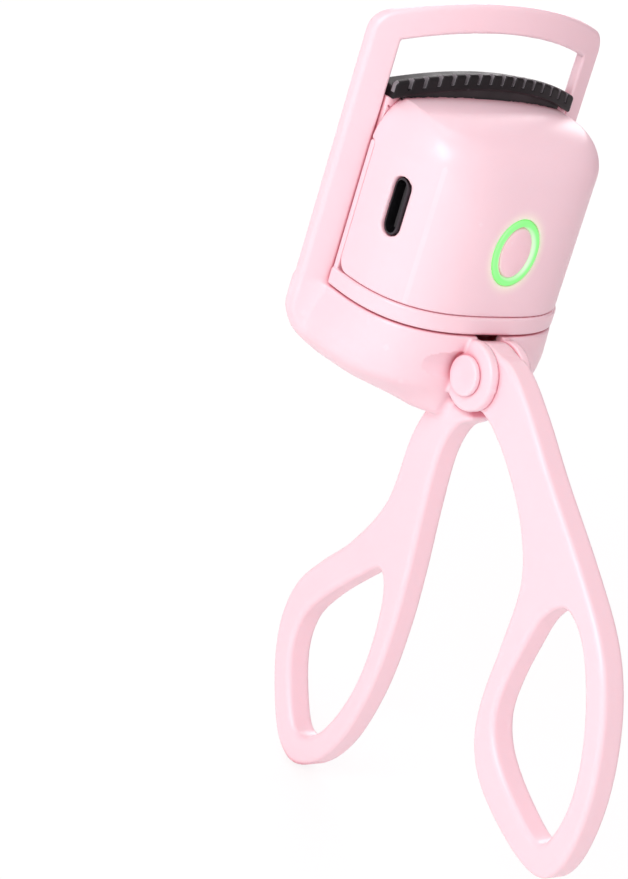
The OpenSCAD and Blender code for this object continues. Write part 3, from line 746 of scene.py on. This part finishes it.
def ring_material():
    """A lit light guide: nearly white at its inner edge, with a faint unevenness."""
    m = Nodes("ring_glow")
    inner = 1 - 2 * RING_BAND / RING_W
    uneven = m.ramp(m.noise(350, 2), 0.3, 0.7, 0.92, 1.06)
    view = m.add("ShaderNodeLayerWeight", Blend=0.35).outputs["Facing"]
    green = m.mix(m.ramp(view, 0, 0.8, 0, 1), srgb(136, 232, 132), srgb(96, 214, 98))
    green = m.mix(m.ramp(m.from_ring(), inner, inner + 0.12, 1, 0), green, srgb(236, 255, 232))
    m.set(Base_Color=srgb(110, 200, 110), Roughness=m.ramp(m.noise(200, 3), 0.3, 0.7, 0.32, 0.44))
    m.set(Emission_Color=green, Emission_Strength=m.math("MULTIPLY", uneven, 0.72))
    m.bump(m.noise(900, 2), 0.00001, 0.4)
    return m.material


FINISHES["ring_light"] = ring_material()

slot_of = {s["node"]: s["material_slot"] for s in frame["record"]["subparts"]}
for node, obj in frame["nodes"].items():
    obj.data.materials.clear()
    obj.data.materials.append(FINISHES[slot_of[node]])
    bevel = obj.modifiers.new("edges", "BEVEL")
    bevel.width, bevel.segments, bevel.limit_method = 0.00008, 2, "ANGLE"
frame["nodes"]["usb_shell"].data.materials[0] = DARK_STEEL


# --- Pieces -------------------------------------------------------------------------------

for values in (
    ("frame_moulding", "main_frame", frame_field,
     (-22.7, -7, -78), (22.7, 30, 53), 0.4, "frame", PINK),
    ("front_handle_moulding", "front_handle", front_handle_field,
     (-2.8, -51, -62), (2.8, 17, 7), 0.3, "handle", PINK),
    ("cover_front", "front_cover", front_cover_field,
     (-19.2, 1.7, 7.6), (19.2, 26, 40), 0.3, "carriage", PINK_GLOW),
    ("cover_rear", "rear_cover", rear_cover_field,
     (-19.4, 1.4, -6.6), (19.4, 26, 40), 0.3, "carriage", PINK),
    ("pad_silicone", "comb_pad", pad_field,
     (-18, 15.6, 34.4), (18, 24.2, 42), 0.18, "carriage", RUBBER),
    ("ring_light_guide", "light_ring", light_ring_field,
     (-5.6, 1.8, 13), (5.6, 5.8, 26), 0.14, "carriage", FINISHES["ring_light"]),
    ("button_cap", "power_button", button_field,
     (-4, 1.8, 14), (4, 9, 25), 0.16, "button", PINK_BUTTON),
    ("hinge_caps", "pin_caps", caps_field,
     (-5.8, -3.6, -3.6), (5.8, 3.6, 3.6), 0.12, "frame", PINK),
):
    piece(*values)


# --- Floor, light and camera --------------------------------------------------------------

def stage_floor(z):
    mesh = bpy.data.meshes.new("floor")
    s = 6.0
    mesh.from_pydata([(-s, -s, z), (s, -s, z), (s, s, z), (-s, s, z)], [], [(0, 1, 2, 3)])
    obj = bpy.data.objects.new("floor", mesh)
    bpy.context.scene.collection.objects.link(obj)
    m = Nodes("floor")
    tone = m.mix(m.noise(3, 2), (0.90, 0.90, 0.90, 1), (0.94, 0.94, 0.94, 1))
    m.set(Base_Color=tone, Roughness=0.9, Specular_IOR_Level=0.0)
    lift = m.add("ShaderNodeEmission", Color=(1, 1, 1, 1), Strength=1.04)
    seen = m.math("MULTIPLY", m.add("ShaderNodeLightPath").outputs["Is Camera Ray"], 0.82)
    mixed = m.add("ShaderNodeMixShader")
    m.put(mixed.inputs[0], seen)
    m.put(mixed.inputs[1], m.bsdf.outputs[0])
    m.put(mixed.inputs[2], lift.outputs[0])
    output = next(n for n in m.tree.nodes if n.type == "OUTPUT_MATERIAL")
    m.put(output.inputs["Surface"], mixed.outputs[0])
    mesh.materials.append(m.material)


def area_light(name, place, target, size, power):
    data = bpy.data.lights.new(name, "AREA")
    data.shape, data.size, data.energy = "DISK", size, power
    obj = bpy.data.objects.new(name, data)
    bpy.context.scene.collection.objects.link(obj)
    obj.location = place
    obj.rotation_euler = (Vector(target) - Vector(place)).to_track_quat("-Z", "Y").to_euler()


# The sky that lights the object is pinker and dimmer than the one the camera sees.
AMBIENT_COLOUR, SEEN_COLOUR = (1.0, 0.79, 0.84, 1), (1, 1, 1, 1)
AMBIENT_POWER, SEEN_POWER = 0.5, 0.98

stage_floor(cad_low.z - 0.0005)
world = bpy.data.worlds.new("studio")
world.use_nodes = True
sky = world.node_tree.nodes["Background"]
path = world.node_tree.nodes.new("ShaderNodeLightPath").outputs["Is Camera Ray"]
colour = world.node_tree.nodes.new("ShaderNodeMix")
colour.data_type = "RGBA"
colour.inputs[6].default_value = AMBIENT_COLOUR
colour.inputs[7].default_value = SEEN_COLOUR
power = world.node_tree.nodes.new("ShaderNodeMapRange")
power.inputs[3].default_value = AMBIENT_POWER
power.inputs[4].default_value = SEEN_POWER
for choose, result, socket in ((colour, 2, 0), (power, 0, 1)):
    world.node_tree.links.new(path, choose.inputs[0])
    world.node_tree.links.new(choose.outputs[result], sky.inputs[socket])
bpy.context.scene.world = world
bpy.context.scene.view_settings.view_transform = "Standard"
area_light("key", (-0.62, -0.30, 0.42), (0, 0, 0.02), 0.6, 4.3)
area_light("fill", (0.30, -0.70, 0.25), (0, 0, 0), 0.5, 0.2)
area_light("top", (0.0, 0.15, 0.8), (0, 0, 0), 0.5, 0.9)
area_light("rear", (0.45, 0.65, 0.35), (0, 0, 0), 0.6, 2.6)

YAW, TILT, ROLL = math.radians(43), math.radians(20.97), math.radians(17.76)
LENS, OFF_AXIS = 121.9, math.radians(2.616)
EYE = Vector(to_frame((-288.2, -305.3, 149.3)))
right = Vector((math.cos(YAW), -math.sin(YAW), 0))
back = Vector((-math.sin(YAW) * math.cos(TILT), -math.cos(YAW) * math.cos(TILT), math.sin(TILT)))
up = back.cross(right)
axis_x = right * math.cos(ROLL) + up * math.sin(ROLL)
axis_y = up * math.cos(ROLL) - right * math.sin(ROLL)
axis_z = back * math.cos(OFF_AXIS) + axis_x * math.sin(OFF_AXIS)
axis_x = axis_x * math.cos(OFF_AXIS) - back * math.sin(OFF_AXIS)
camera = bpy.data.objects.new("camera", bpy.data.cameras.new("camera"))
bpy.context.scene.collection.objects.link(camera)
camera.data.lens, camera.data.sensor_width = LENS, 36
camera.data.clip_start, camera.data.clip_end = 0.01, 20
camera.matrix_world = Matrix.Translation(EYE) @ Matrix((axis_x, axis_y, axis_z)).transposed().to_4x4()
bpy.context.scene.camera = camera
